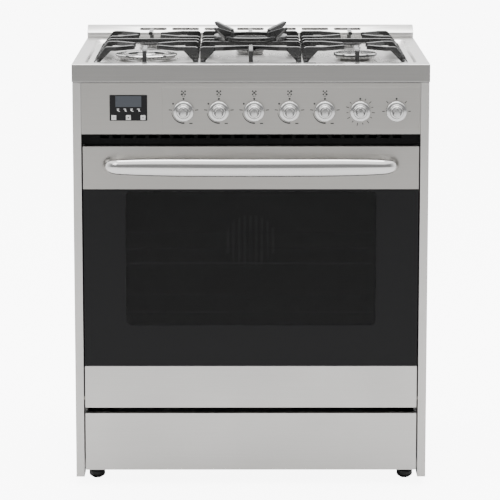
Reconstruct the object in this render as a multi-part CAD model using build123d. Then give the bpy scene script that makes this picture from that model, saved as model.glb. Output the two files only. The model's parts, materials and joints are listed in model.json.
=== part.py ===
from build123d import *
import math
import os

# Freestanding gas range, 760 mm wide. Millimetres, +X right, +Y to the wall, +Z up.
# The origin is the centre of the bounding box's underside: on the floor, under the middle.

# ---- driving dimensions ----
WIDTH = 760.0            # cooktop band, the widest piece
BODY_WIDTH = 758.0       # across the two side panels
BODY_DEPTH = 640.0       # front of the columns to the rear
HANDLE_REACH = 55.0      # door handle's front, ahead of the door
RIM_Z = 915.0            # cooktop rim above the floor
SHEET = 1.5              # folded sheet metal
COLUMN = 18.0            # front columns, seen from the front
REVEAL = 3.0             # gap between a front panel and its neighbour

FRONT = -(BODY_DEPTH - HANDLE_REACH) / 2
BACK = FRONT + BODY_DEPTH
COLUMN_FRONT = FRONT + 2.0
COOKTOP_FRONT = FRONT
TRIM_FRONT = FRONT + 600.0

# front elevation, bottom to top
SIDE_Z0 = 16.0
DRAWER_Z = (32.0, 158.5)
DOOR_Z = (170.5, 740.0)
BAND_H = 92.0            # stainless bands at the door's top and bottom
VENT_Z = (742.0, 766.0)
PANEL_Z = (766.0, 875.5)
BAND_Z0 = 877.0          # cooktop's front band, underside

IN_X = BODY_WIDTH / 2 - COLUMN       # inner face of the columns
DOOR_X = IN_X - REVEAL               # half width of door and drawer
DOOR_FRONT = FRONT
DOOR_BACK = FRONT + 45.0
FRAME_FRONT = FRONT + 52.5           # face frame round the oven mouth
HINGE_Y, HINGE_Z = FRONT + 20.0, 188.0

# oven cavity, inside faces
OVEN_X = 290.0
OVEN_Z = (270.0, 700.0)
OVEN_BACK = FRONT + 520.0
LINER = 2.0

# knobs and what they turn
KNOB_X = [-143.0, -68.0, 7.0, 82.0, 157.0, 232.0, 309.0]
KNOB_Z = 815.0
STEM_R = 4.0
KNOB_BORE_R = 4.05
PANEL_FACE = FRONT + 1.5

# cooktop
FLOOR_Z = RIM_Z - 6.0
PAN_X = 355.0
PAN_Y = (COOKTOP_FRONT + 35.0, COOKTOP_FRONT + 550.0)
GRATE_TOP = RIM_Z + 27.5
LIFT = 0.3               # loose pieces stand this far off what carries them
BAR = 9.0
MID_Y = COOKTOP_FRONT + 290.0        # line through the centre burner
BURNER_DY = 123.0                    # front and back burners, from that line
BURNER_X = 227.0
# name, centre x, centre y, cap radius
BURNERS = [
    ("left_front", -BURNER_X, MID_Y - BURNER_DY, 67.0),
    ("left_back", -BURNER_X, MID_Y + BURNER_DY, 25.0),
    ("centre", 0.0, MID_Y, 33.5),
    ("right_front", BURNER_X, MID_Y - BURNER_DY, 47.0),
    ("right_back", BURNER_X, MID_Y + BURNER_DY, 25.0),
]


# ---- helpers ----
def box(x0, x1, y0, y1, z0, z1):
    """Box between two corners."""
    return Pos((x0 + x1) / 2, (y0 + y1) / 2, (z0 + z1) / 2) * Box(x1 - x0, y1 - y0, z1 - z0)


def cyl_z(x, y, z0, z1, r):
    """Upright cylinder."""
    return Pos(x, y, (z0 + z1) / 2) * Cylinder(r, z1 - z0)


def cyl_y(x, z, y0, y1, r):
    """Cylinder lying front to back."""
    return Pos(x, (y0 + y1) / 2, z) * Rot(90, 0, 0) * Cylinder(r, y1 - y0)


def cyl_x(y, z, x0, x1, r):
    """Cylinder lying across."""
    return Pos((x0 + x1) / 2, y, z) * Rot(0, 90, 0) * Cylinder(r, x1 - x0)


def both(shape):
    """A shape and its mirror image in X."""
    return shape + mirror(shape, about=Plane.YZ)


def group(shapes):
    """Separate solids kept together in one node."""
    return Compound(children=[s for shape in shapes for s in shape.solids()])


def surround(x, z, x_out, z_out, y0, y1):
    """Four flat strips round an opening: half width x and z range, out to x_out and z_out."""
    side = box(x, x_out, y0, y1, z[0], z[1])
    strips = [side, mirror(side, about=Plane.YZ)]
    strips.append(box(-x_out, x_out, y0, y1, z[1], z_out[1]))
    strips.append(box(-x_out, x_out, y0, y1, z_out[0], z[0]))
    return group(strips)


# ---- cabinet ----
def side_panel(sign):
    """Outer side with the front column folded round it."""
    outer = BODY_WIDTH / 2
    top = BAND_Z0 - 1
    wall = box(outer - SHEET, outer, COLUMN_FRONT, BACK - 2, SIDE_Z0, top)
    column = box(IN_X, outer - SHEET, COLUMN_FRONT, COLUMN_FRONT + SHEET, SIDE_Z0, top)
    lip = box(IN_X, IN_X + SHEET, COLUMN_FRONT + SHEET, FRONT + 49, SIDE_Z0, top)
    panel = wall + column + lip
    return panel if sign > 0 else mirror(panel, about=Plane.YZ)


def base_pan():
    """Floor of the cabinet with its turned-up edges and foot nuts."""
    x = BODY_WIDTH / 2 - SHEET
    pan = box(-x, x, FRONT + 50, BACK - 6, 24, 28)
    for y in (FRONT + 50, BACK - 10):
        pan += box(-x, x, y, y + 4, 28, 44)
    for fx, fy in FEET:
        pan += cyl_z(fx, fy, 28, 42, 9)
        pan -= cyl_z(fx, fy, 20, 45, FOOT_STEM_R + 0.05)
    return pan


def corner_post(y0, z0, holes):
    """Upright box-section post in a right-hand corner, drilled where the rear cover screws on."""
    x = BODY_WIDTH / 2 - SHEET
    post = box(x - 22, x, y0, y0 + 24, z0, BAND_Z0 - 12)
    post -= box(x - 20, x - 2, y0 + 2, y0 + 22, z0 - 1, BAND_Z0)
    for z in holes:
        post -= cyl_y(SCREW_X, z, y0 + 20, y0 + 26, 2.1)
    return post


def chassis():
    """Base pan and the four posts that carry the rear cover and the cooktop."""
    posts = [corner_post(FRONT + 56, 28, []), corner_post(BACK - 34, 28, SCREW_Z)]
    return group([base_pan()] + posts + [mirror(post, about=Plane.YZ) for post in posts])


FOOT_STEM_R = 5.0
FEET = [(sx * 337.0, y) for y in (FRONT + 66.0, BACK - 60.0) for sx in (-1, 1)]


def foot(x, y):
    """Levelling foot: threaded stem, round pad with a chamfered edge and a small centre pip."""
    pad = cyl_z(x, y, 2, 16, 17.5)
    pad = fillet(pad.edges().sort_by(Axis.Z)[0], 5)
    pip = cyl_z(x, y, 0, 2, 10)
    stem = cyl_z(x, y, 16, 52, FOOT_STEM_R)
    nut = Pos(x, y, 20) * extrude(RegularPolygon(9, 6), 3.5)
    return pad + pip + stem + nut


def back_panel():
    """Rear cover with louvre slots, a gas inlet notch and screw holes."""
    x = BODY_WIDTH / 2 - SHEET
    panel = box(-x, x, BACK - 6, BACK - 4, 24, BAND_Z0 - 1)
    for row in range(6):
        for col in (-1, 0, 1):
            z = 700 + 22 * row
            panel -= box(col * 200 - 60, col * 200 + 60, BACK - 8, BACK - 2, z, z + 6)
    panel -= cyl_y(INLET_X, INLET_Z, BACK - 8, BACK - 2, 16)
    panel -= cyl_y(GLAND_X, GLAND_Z, BACK - 8, BACK - 2, 9)
    for sx in (-1, 1):
        for z in SCREW_Z:
            panel -= cyl_y(sx * SCREW_X, z, BACK - 8, BACK - 2, 2.2)
    return panel


SCREW_X = 365.0
SCREW_Z = (70.0, 330.0, 590.0, 850.0)
INLET_X, INLET_Z = 250.0, 120.0
GLAND_X, GLAND_Z = -280.0, 120.0


def back_screws():
    """Eight pan-head screws that hold the rear cover."""
    screws = []
    for sx in (-1, 1):
        for z in SCREW_Z:
            head = cyl_y(sx * SCREW_X, z, BACK - 4, BACK - 1.5, 4)
            screws.append(head + cyl_y(sx * SCREW_X, z, BACK - 12, BACK - 4, 2))
    return group(screws)


def face_frame():
    """Enamelled frame round the oven mouth, behind the door, in four strips."""
    return surround(OVEN_X, OVEN_Z, IN_X, (172, 764), FRAME_FRONT, FRAME_FRONT + 3)


def oven_liner():
    """Enamelled oven walls: two sides, floor, roof, and a rear wall with fan and lamp holes."""
    t = LINER
    y0, y1 = FRAME_FRONT + 3, OVEN_BACK
    z0, z1 = OVEN_Z
    side = box(OVEN_X, OVEN_X + t, y0, y1, z0 - t, z1 + t)
    floor = box(-OVEN_X, OVEN_X, y0, y1, z0 - t, z0)
    for sx in (-1, 1):
        floor -= box(sx * 200 - 60, sx * 200 + 60, y0 + 60, y0 + 75, z0 - 5, z0 + 1)
    roof = box(-OVEN_X, OVEN_X, y0, y1, z1, z1 + t)
    rear = box(-OVEN_X - t, OVEN_X + t, y1, y1 + t, z0 - t, z1 + t)
    rear -= cyl_y(0, FAN_Z, y1 - 1, y1 + t + 1, 12)
    rear -= cyl_y(LAMP_X, LAMP_Z, y1 - 1, y1 + t + 1, 17.5)
    return group([side, mirror(side, about=Plane.YZ), floor, roof, rear])


FAN_Z = 455.0
LAMP_X, LAMP_Z = 225.0, 640.0


def insulation():
    """Mineral-wool blanket round the liner, open at front and back."""
    t = LINER + 0.5
    thick = 28.0
    y0, y1 = FRAME_FRONT + 6, OVEN_BACK - 4
    outer = box(-OVEN_X - t - thick, OVEN_X + t + thick, y0, y1, OVEN_Z[0] - t - 4, OVEN_Z[1] + t + thick)
    return outer - box(-OVEN_X - t, OVEN_X + t, y0 - 1, y1 + 1, OVEN_Z[0] - t - 5, OVEN_Z[1] + t)


RACK_Z = 476.0           # wires of the shelf in its usual place
RACK_PITCH = 73.0
RACK_X = OVEN_X - 7.0    # outermost wires of a shelf
RACK_Y = (FRAME_FRONT + 14.0, OVEN_BACK - 50.0)


def rack_supports():
    """Two wire side ladders with five places for a shelf."""
    ladders = []
    y0, y1 = FRAME_FRONT + 30, OVEN_BACK - 30
    for sx in (-1, 1):
        solid = None
        for y in (y0, (y0 + y1) / 2, y1):
            post = cyl_z(sx * (OVEN_X - 2), y, OVEN_Z[0] + 45, OVEN_Z[1] - 60, 2.0)
            solid = post if solid is None else solid + post
        for i in range(5):
            z = RACK_Z - 5.3 + (i - 2) * RACK_PITCH
            for dz in (0, 14):
                solid += cyl_y(sx * (OVEN_X - 5), z + dz, y0 - 8, y1 + 8, 2.5)
        ladders.append(solid)
    return group(ladders)


def oven_rack(z):
    """Chromed wire shelf: perimeter, fifteen long wires and a cross wire."""
    x = RACK_X
    y0, y1 = RACK_Y
    r = 2.5
    rack = cyl_y(-x, z, y0, y1, r) + cyl_y(x, z, y0, y1, r)
    rack += cyl_x(y0, z, -x, x, r) + cyl_x(y1, z, -x, x, r)
    for i in range(1, 16):
        rack += cyl_y(-x + i * 2 * x / 16, z + 1.0, y0, y1, 1.5)
    rack += cyl_x((y0 + y1) / 2, z - 1.5, -x, x, 2.0)
    for sx in (-1, 1):
        for y in (y0, y1):
            rack += Pos(sx * x, y, z) * Sphere(r)
    return rack


def oven_burner():
    """Bake burner under the oven floor: a U-shaped tube hung on four straps."""
    z = OVEN_Z[0] - 26
    y0, y1 = FRAME_FRONT + 60, OVEN_BACK - 40
    tube = cyl_y(-90, z, y0, y1, 9) + cyl_y(90, z, y0, y1, 9) + cyl_x(y0, z, -90, 90, 9)
    for sx in (-1, 1):
        tube += Pos(sx * 90, y0, z) * Sphere(9)
        for y in (y0 + 30, y1 - 40):
            tube += box(sx * 90 - 5, sx * 90 + 5, y, y + 4, z, OVEN_Z[0] - LINER)
    return tube


def broil_burner():
    """Grill burner high in the oven: four runs of tube between two cross tubes, on four hangers."""
    z = OVEN_Z[1] - 32
    y0, y1 = FRAME_FRONT + 90, OVEN_BACK - 60
    tube = cyl_x(y0, z, -120, 120, 6) + cyl_x(y1, z, -120, 120, 6)
    for x in (-120, -40, 40, 120):
        tube += cyl_y(x, z, y0, y1, 5)
    for x in (-120, 120):
        for y in (y0, y1):
            tube += Pos(x, y, z) * Sphere(6)
        for y in (y0 + 60, y1 - 64):
            tube += box(x - 4, x + 4, y, y + 4, z, OVEN_Z[1])
    return tube


def fan_cover():
    """Slotted cover over the convection fan."""
    y0, y1 = OVEN_BACK - 44, OVEN_BACK
    shell = box(-120, 120, y0, y1, FAN_Z - 110, FAN_Z + 110)
    shell = fillet(shell.edges().filter_by(Axis.Y), 18)
    hollow = box(-118.5, 118.5, y0 + 1.5, y1 + 1, FAN_Z - 108.5, FAN_Z + 108.5)
    shell -= fillet(hollow.edges().filter_by(Axis.Y), 16.5)
    for i in range(-4, 5):
        half = math.sqrt(60.0 ** 2 - (i * 13.0) ** 2)
        shell -= box(i * 13 - 3, i * 13 + 3, y0 - 1, y0 + 3, FAN_Z - half, FAN_Z + half)
    return shell


def fan_motor():
    """Motor behind the oven wall on two posts, with the shaft that drives the fan."""
    y = OVEN_BACK + 24
    motor = cyl_y(0, FAN_Z, y, y + 50, 36)
    motor += cyl_y(0, FAN_Z, OVEN_BACK - 24, y, 3)
    motor += box(-55, 55, y, y + 3, FAN_Z - 12, FAN_Z + 12)
    for sx in (-1, 1):
        motor += cyl_y(sx * 47, FAN_Z, OVEN_BACK + LINER, y, 5)
    return motor


def convection_fan():
    """Fan wheel: hub, backplate and twelve straight blades."""
    y = OVEN_BACK - 32
    wheel = cyl_y(0, FAN_Z, y + 20, y + 22, 70)
    wheel += cyl_y(0, FAN_Z, y, y + 20, 9)
    for i in range(12):
        blade = Pos(50, y + 10, 0) * Box(34, 20, 1.5)
        wheel += Pos(0, 0, FAN_Z) * Rot(0, i * 30, 0) * blade
    return wheel - cyl_y(0, FAN_Z, y - 1, y + 23, 3.05)


def oven_lamp():
    """Lamp holder with its glass dome."""
    lamp = cyl_y(LAMP_X, LAMP_Z, OVEN_BACK - 6, OVEN_BACK, 24)
    lamp += cyl_y(LAMP_X, LAMP_Z, OVEN_BACK, OVEN_BACK + 30, 17.5)
    lamp += Pos(LAMP_X, OVEN_BACK - 6, LAMP_Z) * Sphere(16)
    return lamp - cyl_y(LAMP_X, LAMP_Z, OVEN_BACK + 4, OVEN_BACK + 31, 14)


# ---- controls ----
DISPLAY_X, DISPLAY_Z = -260.0, 822.5
DISPLAY_W, DISPLAY_H = 80.0, 55.0


def control_panel():
    """Folded stainless fascia with a raised knob field, seven stem holes and the clock opening."""
    x = IN_X - 0.4
    z0, z1 = PANEL_Z
    panel = box(-x, x, PANEL_FACE, PANEL_FACE + SHEET, z0, z1)
    panel += box(-x, x, PANEL_FACE + SHEET, FRONT + 44, z0, z0 + SHEET)
    panel += box(-x, x, PANEL_FACE + SHEET, FRONT + 44, z1 - SHEET, z1)
    field = box(-188, x - 3, PANEL_FACE - 0.8, PANEL_FACE, z0 + 10.5, z1 - 9)
    panel += field
    for kx in KNOB_X:
        panel -= cyl_y(kx, KNOB_Z, PANEL_FACE - 2, PANEL_FACE + 3, STEM_R + 1.5)
    w, h, y = DISPLAY_W / 2 - 1, DISPLAY_H / 2 - 1, PANEL_FACE
    return panel - box(DISPLAY_X - w, DISPLAY_X + w, y - 1, y + 3, DISPLAY_Z - h, DISPLAY_Z + h)


BUTTON_X = [DISPLAY_X - 31.0, DISPLAY_X, DISPLAY_X + 31.0]
BUTTON_Z = 802.0
BUTTON = 10.4
PRESS = 1.5


def button_wells(y0, y1):
    """Square openings for the three buttons, 0.35 mm wider all round."""
    half = BUTTON / 2 + 0.35
    wells = [box(x - half, x + half, y0, y1, BUTTON_Z - half, BUTTON_Z + half) for x in BUTTON_X]
    return Compound(children=wells)


def display_housing():
    """Clock module: box behind the panel with a flange in front of it."""
    w, h = DISPLAY_W / 2, DISPLAY_H / 2
    y = PANEL_FACE
    case = box(DISPLAY_X - w + 2.2, DISPLAY_X + w - 2.2, y, y + 30, DISPLAY_Z - h + 2.2, DISPLAY_Z + h - 2.2)
    case += box(DISPLAY_X - w, DISPLAY_X + w, y - 1.2, y, DISPLAY_Z - h, DISPLAY_Z + h)
    return case - button_wells(y - 2, y + 4)


def display_glass():
    """Front lens of the clock, with openings for the buttons."""
    w, h = DISPLAY_W / 2 - 0.8, DISPLAY_H / 2 - 0.8
    y = PANEL_FACE
    lens = box(DISPLAY_X - w, DISPLAY_X + w, y - 2.4, y - 1.2, DISPLAY_Z - h, DISPLAY_Z + h)
    return lens - button_wells(y - 3, y)


def button(x):
    """Square push button."""
    half = BUTTON / 2
    cap = box(x - half, x + half, PANEL_FACE - 3.9, PANEL_FACE + 1, BUTTON_Z - half, BUTTON_Z + half)
    return fillet(cap.edges().filter_by(Axis.Y), 1.2)


def gas_manifold():
    """Rail the valves sit on, with the feed pipe and riser that bring gas from the rear inlet."""
    y, z = FRONT + 70, KNOB_Z
    back = BACK - 60
    rail = cyl_x(y, z, -170, 332, 9)
    feed = cyl_y(INLET_X, z, y + 9, back - 8, 8)
    riser = cyl_z(INLET_X, back, INLET_Z + 80, z + 8, 8)
    return group([rail, feed, riser])


def valve(x):
    """Tap: body in front of the rail, collar, and a stem out through the panel."""
    body = box(x - 14, x + 14, FRONT + 26, FRONT + 61, KNOB_Z - 14, KNOB_Z + 14)
    collar = cyl_y(x, KNOB_Z, FRONT + 12, FRONT + 26, 9)
    stem = cyl_y(x, KNOB_Z, FRONT - 18, FRONT + 12, STEM_R)
    return body + collar + stem


def control_valves():
    """Five burner taps, the oven thermostat and the function selector."""
    return group([valve(x) for x in KNOB_X])


KNOB_R = 22.0
KNOB_BACK = PANEL_FACE - 1.8


def knob(x):
    """Round metal knob: skirt, tapered drum and a grip that points up."""
    at = Pos(x, KNOB_BACK, KNOB_Z) * Rot(90, 0, 0)
    skirt = at * extrude(Circle(KNOB_R), 9)
    skirt = fillet(skirt.edges().filter_by(GeomType.CIRCLE).sort_by(Axis.Y)[0], 3.5)
    drum = at * Pos(0, 0, 9) * extrude(Circle(14.5), 12, taper=6)
    outline = Polyline((-9, -6), (9, -6), (11, 2), (0, 12.5), (-11, 2), (-9, -6))
    grip = at * Pos(0, 0, 9) * extrude(make_face(outline), 18, taper=4)
    solid = skirt + drum + grip
    return solid - cyl_y(x, KNOB_Z, KNOB_BACK - 19, KNOB_BACK + 1, KNOB_BORE_R)


def vent_grille():
    """Black louvred strip between the fascia and the door."""
    z0, z1 = VENT_Z
    strip = box(-IN_X, IN_X, FRONT + 16, FRONT + 18, z0, z1 - 0.2)
    strip += box(-IN_X, IN_X, FRONT + 18, FRONT + 44, z0, z0 + 2)
    for i in range(-12, 13):
        strip -= box(i * 26 - 9, i * 26 + 9, FRONT + 15, FRONT + 19, z0 + 14, z0 + 20)
    return strip


# ---- cooktop ----
def cooktop():
    """Pressed stainless top: front band, rim, sloped recess and burner holes."""
    x = WIDTH / 2
    t = 2.0
    top = box(-x, x, COOKTOP_FRONT, BACK - 2, BAND_Z0, RIM_Z)
    top -= box(-x + t, x - t, COOKTOP_FRONT + t, BACK - 2 - t, BAND_Z0 - 1, FLOOR_Z - t)
    cx, cy = 0.0, (PAN_Y[0] + PAN_Y[1]) / 2
    mouth = RectangleRounded(2 * PAN_X, PAN_Y[1] - PAN_Y[0], 16)
    recess = Pos(cx, cy, RIM_Z) * extrude(mouth, -(RIM_Z - FLOOR_Z), taper=40)
    top -= recess
    for name, bx, by, r in BURNERS:
        top -= cyl_z(bx, by, FLOOR_Z - t - 1, FLOOR_Z + 1, hole_r(r))
    edges = top.edges().filter_by(Axis.X).group_by(Axis.Z)[-1].sort_by(Axis.Y)
    return fillet(edges[0], 1.5)


def hole_r(cap_r):
    """Radius of the cooktop's hole for a burner."""
    return min(cap_r, 40.0) * 0.62


TRIM_GAP = 4.0                       # shadow gap under the trim's front lip
TRIM_LIP, TRIM_RISE = 8.0, 27.0      # height of the lip, and of the flat top above the rim
TRIM_RUN = 24.0                      # depth of the slotted slope
TRIM_T = 1.5
TRIM_SLOTS, SLOT_PITCH = 7, 75.5
SLOT_L, SLOT_W = 63.0, 9.0


def rear_trim():
    """Vented trim along the back: lip over a shadow gap, slotted slope and flat top."""
    x, y0, y1, z, t = WIDTH / 2, TRIM_FRONT, BACK, RIM_Z, TRIM_T
    low, high, top = z + TRIM_GAP, z + TRIM_GAP + TRIM_LIP, z + TRIM_RISE
    fold, leg = y0 + TRIM_RUN, y0 + 5
    outer = [(y0, low), (y0, high), (fold, top), (y1, top), (y1, z - 40)]
    inner = [(y1 - t, z - 40), (y1 - t, top - t), (fold + 0.5, top - t), (y0 + t, high - 0.9),
             (y0 + t, low + t)]
    foot = [(leg + t, low + t), (leg + t, z), (leg, z), (leg, low)]
    trim = extrude(Plane.YZ * make_face(Polyline(*outer, *inner, *foot, outer[0])), x, both=True)
    slope = math.degrees(math.atan2(top - high, TRIM_RUN))
    for i in range(TRIM_SLOTS):
        place = Pos((i - (TRIM_SLOTS - 1) / 2) * SLOT_PITCH, y0 + TRIM_RUN / 2, (high + top) / 2)
        trim -= place * Rot(slope, 0, 0) * extrude(SlotOverall(SLOT_L, SLOT_W), 6, both=True)
    cheek = [foot[1], foot[0], *reversed(inner[1:]), (y1 - t, z)]
    plate = extrude(Plane.YZ * make_face(Polyline(*cheek, cheek[0])), 2)
    return trim + Pos(x - 2, 0, 0) * plate + Pos(-x, 0, 0) * plate


def burner_base(x, y, r):
    """Cup under a burner, through the cooktop's hole, with a flange on the pan."""
    h = hole_r(r) - 0.3
    return cyl_z(x, y, FLOOR_Z - 26, FLOOR_Z, h) + cyl_z(x, y, FLOOR_Z, FLOOR_Z + 3, hole_r(r) + 7)


HEAD_TOP = FLOOR_Z + 9.0


def burner_head(x, y, r):
    """Burner head with flame ports cut round it; the largest is a ring round a small one."""
    z0, z1 = FLOOR_Z + 3, HEAD_TOP
    head = cyl_z(x, y, z0, z1, r - 4)
    if r > 60:
        head -= cyl_z(x, y, z0 - 1, z1 + 1, r - 22)
        head += cyl_z(x, y, z0, z1, 18) + box(x - r + 10, x + r - 10, y - 6, y + 6, z0, z0 + 3)
    ports = round((r - 4) * 0.7)
    cuts = []
    for i in range(ports):
        a = 2 * math.pi * i / ports
        px, py = x + (r - 4) * math.cos(a), y + (r - 4) * math.sin(a)
        cuts.append(Pos(px, py, z1) * Rot(0, 0, math.degrees(a)) * Box(5, 1.8, 6))
    return head - Compound(children=cuts)


def burner_cap(x, y, r):
    """Cap: a disc with a rounded edge, or a ring and a disc on the largest burner."""
    z0 = HEAD_TOP
    if r > 60:
        ring = cyl_z(x, y, z0, z0 + 4.5, r) - cyl_z(x, y, z0 - 1, z0 + 6, r - 26)
        ring = chamfer(ring.edges().filter_by(GeomType.CIRCLE).group_by(Axis.Z)[-1], 1.8)
        disc = cyl_z(x, y, z0, z0 + 4.5, 21)
        return group([ring, fillet(disc.edges().filter_by(GeomType.CIRCLE).group_by(Axis.Z)[-1], 2)])
    disc = cyl_z(x, y, z0, z0 + 6, r)
    return fillet(disc.edges().filter_by(GeomType.CIRCLE).group_by(Axis.Z)[-1], 2.5)


def igniters():
    """Ceramic spark electrode beside each burner, on the side away from the front."""
    rods = []
    for _, x, y, r in BURNERS:
        a = math.radians(140)
        d = r + 5.0
        px, py = x + d * math.cos(a), y + d * math.sin(a)
        rods.append(cyl_z(px, py, FLOOR_Z, FLOOR_Z + 9, 3.0) + cyl_z(px, py, FLOOR_Z + 9, FLOOR_Z + 12, 1.0))
    return group(rods)


# ---- grates ----
FOOT_Z = FLOOR_Z + LIFT
BAR_Z = GRATE_TOP - 10.0
BAR_DY = (-185.0, -61.0, 0.0, 61.0, 185.0)
RAIL_H = 5.0
FINGER_TIP = (26.0, 37.0)            # finger tips from the burner's centre: across, and off the bar
RAIL_Y = (PAN_Y[0] + 13.0, PAN_Y[1] - 18.0)
SIDE_IN, SIDE_TOP, SIDE_FOOT = 113.0, 314.0, 339.0
CENTRE_X = 109.0


def prism_xz(points, y, wide=BAR):
    """Upright plate whose outline is given in XZ, centred on y."""
    plane = Plane(origin=(0, y, 0), x_dir=(1, 0, 0), z_dir=(0, -1, 0))
    return extrude(plane * make_face(Polyline(*points, points[0])), wide / 2, both=True)


def prism_yz(points, x, wide=BAR):
    """Upright plate whose outline is given in YZ, centred on x."""
    plane = Plane(origin=(x, 0, 0), x_dir=(0, 1, 0), z_dir=(1, 0, 0))
    return extrude(plane * make_face(Polyline(*points, points[0])), wide / 2, both=True)


def plan_bar(points, z0, z1, wide=BAR):
    """Upright bar whose centreline is a polyline in plan, with mitred bends."""
    left, right = [], []
    n = len(points)
    for i, (px, py) in enumerate(points):
        ax, ay = points[max(i - 1, 0)]
        bx, by = points[min(i + 1, n - 1)]
        mid = math.atan2(by - ay, bx - ax)
        reach = wide / 2
        if 0 < i < n - 1:
            d1 = math.atan2(py - ay, px - ax)
            d2 = math.atan2(by - py, bx - px)
            mid = (d1 + d2) / 2
            reach = wide / 2 / math.cos((d2 - d1) / 2)
        left.append((px - reach * math.sin(mid), py + reach * math.cos(mid)))
        right.append((px + reach * math.sin(mid), py - reach * math.cos(mid)))
    outline = left + right[::-1]
    return extrude(Plane.XY.offset(z0) * make_face(Polyline(*outline, outline[0])), z1 - z0)


def sloped_leg(y):
    """Outer end of a right-hand bar: from the top down and out to the pan."""
    z, x0, x1 = GRATE_TOP, SIDE_TOP, SIDE_FOOT
    points = [(x0 - 4, z), (x0, z - 2), (x1, FOOT_Z), (x1 - 15, FOOT_Z), (x0 - 12, BAR_Z), (x0 - 12, z)]
    return prism_xz(points, y)


def gusset_leg(x, y):
    """Right-facing end of a bar at x: a straight leg with a gusset, its top corner eased."""
    z = GRATE_TOP
    points = [(x - 6, z), (x - 1.5, z - 2), (x, z - 6), (x, FOOT_Z), (x - 12, FOOT_Z)]
    points += [(x - 12, FOOT_Z + 3), (x - 31, BAR_Z), (x - 31, z)]
    return prism_xz(points, y)


def cross_bar(x0, x1, y):
    """Plain bar across the grate at the top."""
    return box(min(x0, x1), max(x0, x1), y - BAR / 2, y + BAR / 2, BAR_Z, GRATE_TOP)


def low_rails(x0, x1):
    """Flat frame on the pan that joins the feet of a grate."""
    y0, y1 = RAIL_Y
    z0, z1 = FOOT_Z, FOOT_Z + RAIL_H
    frame = box(x0, x1, y0 - 4, y1 + 4, z0, z1)
    return frame - box(x0 + 8, x1 - 8, y0 + 4, y1 - 4, z0 - 1, z1 + 1)


def end_stub(x, y, inward, reach):
    """Front or back finger: up from the low frame, then in towards the burner."""
    z = GRATE_TOP
    points = [(y - inward * 4, FOOT_Z), (y - inward * 4, z - 4), (y, z), (y + inward * reach, z)]
    points += [(y + inward * reach, z - 8), (y + inward * 13, z - 12), (y + inward * 7, FOOT_Z)]
    return prism_yz(points, x)


def side_grate():
    """Right-hand grate: five bars, sloped outside, gusseted inside, fingers round two burners."""
    body = low_rails(SIDE_IN, SIDE_FOOT - 4)
    for dy in BAR_DY:
        y = MID_Y + dy
        body += sloped_leg(y) + mirror(gusset_leg(-SIDE_IN, y), about=Plane.YZ)
        if dy == 0.0:
            body += cross_bar(SIDE_IN + 30, SIDE_TOP - 11, y)
            continue
        across, off = FINGER_TIP
        toward = off if dy in (BAR_DY[0], BAR_DY[3]) else -off
        right = [(SIDE_TOP - 11, y), (BURNER_X + 65, y), (BURNER_X + across, y + toward)]
        left = [(SIDE_IN + 30, y), (BURNER_X - 70, y), (BURNER_X - across, y + toward)]
        body += plan_bar(right, BAR_Z + 0.5, GRATE_TOP) + plan_bar(left, BAR_Z + 0.5, GRATE_TOP)
    y0, y1 = RAIL_Y
    return body + end_stub(BURNER_X, y0, 1, 82) + end_stub(BURNER_X, y1, -1, 82)


def centre_grate():
    """Middle grate: gusseted ends, bowed first and last bars, two short fingers between."""
    body = low_rails(-CENTRE_X, CENTRE_X)
    for dy in BAR_DY:
        y = MID_Y + dy
        leg = gusset_leg(CENTRE_X, y)
        body += leg + mirror(leg, about=Plane.YZ)
        if abs(dy) == BAR_DY[-1]:
            bow = 28.0 if dy < 0 else -28.0
            arc = [(-79, y), (-58, y + bow * 0.15), (-28, y + bow * 0.75), (0, y + bow)]
            arc += [(-px, py) for px, py in arc[-2::-1]]
            body += plan_bar(arc, BAR_Z + 0.5, GRATE_TOP)
        elif dy == 0.0:
            body += cross_bar(-79, -26, y) + cross_bar(26, 79, y)
        else:
            body += cross_bar(-79, 79, y)
    y0, y1 = RAIL_Y
    return body + end_stub(0, y0, 1, 100) + end_stub(0, y1, -1, 100)


WOK_R = 81.0
WOK_Z = GRATE_TOP + LIFT


def wok_ring():
    """Wok support: a ring on the centre grate with four arms that rise outwards."""
    ring = Pos(0, MID_Y, WOK_Z) * extrude(Circle(WOK_R) - Circle(WOK_R - 12), 8)
    profile = [(56, 0), (56, 16), (60, 18), (107, 31.2), (110, 30.4), (110, 26), (86, 8), (80, 0)]
    for angle in (45, 135, 225, 315):
        arm = prism_xz([(px, WOK_Z + pz) for px, pz in profile], 0, 10.0)
        ring += Pos(0, MID_Y, 0) * Rot(0, 0, angle) * arm
    return ring


# ---- door ----
TOP_BAND = (DOOR_Z[1] - BAND_H, DOOR_Z[1])
BOTTOM_BAND = (DOOR_Z[0], DOOR_Z[0] + BAND_H)
HANDLE_Z = 700.0
HANDLE_X = 305.0
HANDLE_A, HANDLE_B = 11.0, 19.0      # half depth and half height of the bar
WINDOW_X, WINDOW_Z = 268.0, (352.0, 648.0)
PIN_R = 5.0


def band(z0, z1):
    """Stainless band across the door: a shallow channel, open at the back."""
    outer = box(-DOOR_X, DOOR_X, DOOR_FRONT, DOOR_FRONT + 24, z0, z1)
    hollow = box(-DOOR_X + SHEET, DOOR_X - SHEET, DOOR_FRONT + SHEET, DOOR_FRONT + 25, z0 + SHEET, z1 - SHEET)
    return outer - hollow


def door_top_band():
    """Upper band with the two handle bolt holes."""
    piece = band(*TOP_BAND)
    for sx in (-1, 1):
        piece -= cyl_y(sx * HANDLE_X, HANDLE_Z, DOOR_FRONT - 1, DOOR_FRONT + 3, 3.2)
    return piece


def door_bottom_band():
    """Lower band, drilled at its ends for the hinge pins."""
    return band(*BOTTOM_BAND) - cyl_x(HINGE_Y, HINGE_Z, -DOOR_X - 1, DOOR_X + 1, PIN_R + 0.6)


def door_outer_glass():
    """Black glass between the bands."""
    return box(-DOOR_X, DOOR_X, DOOR_FRONT + 1, DOOR_FRONT + 6, BOTTOM_BAND[1] + 0.5, TOP_BAND[0] - 0.5)


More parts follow.
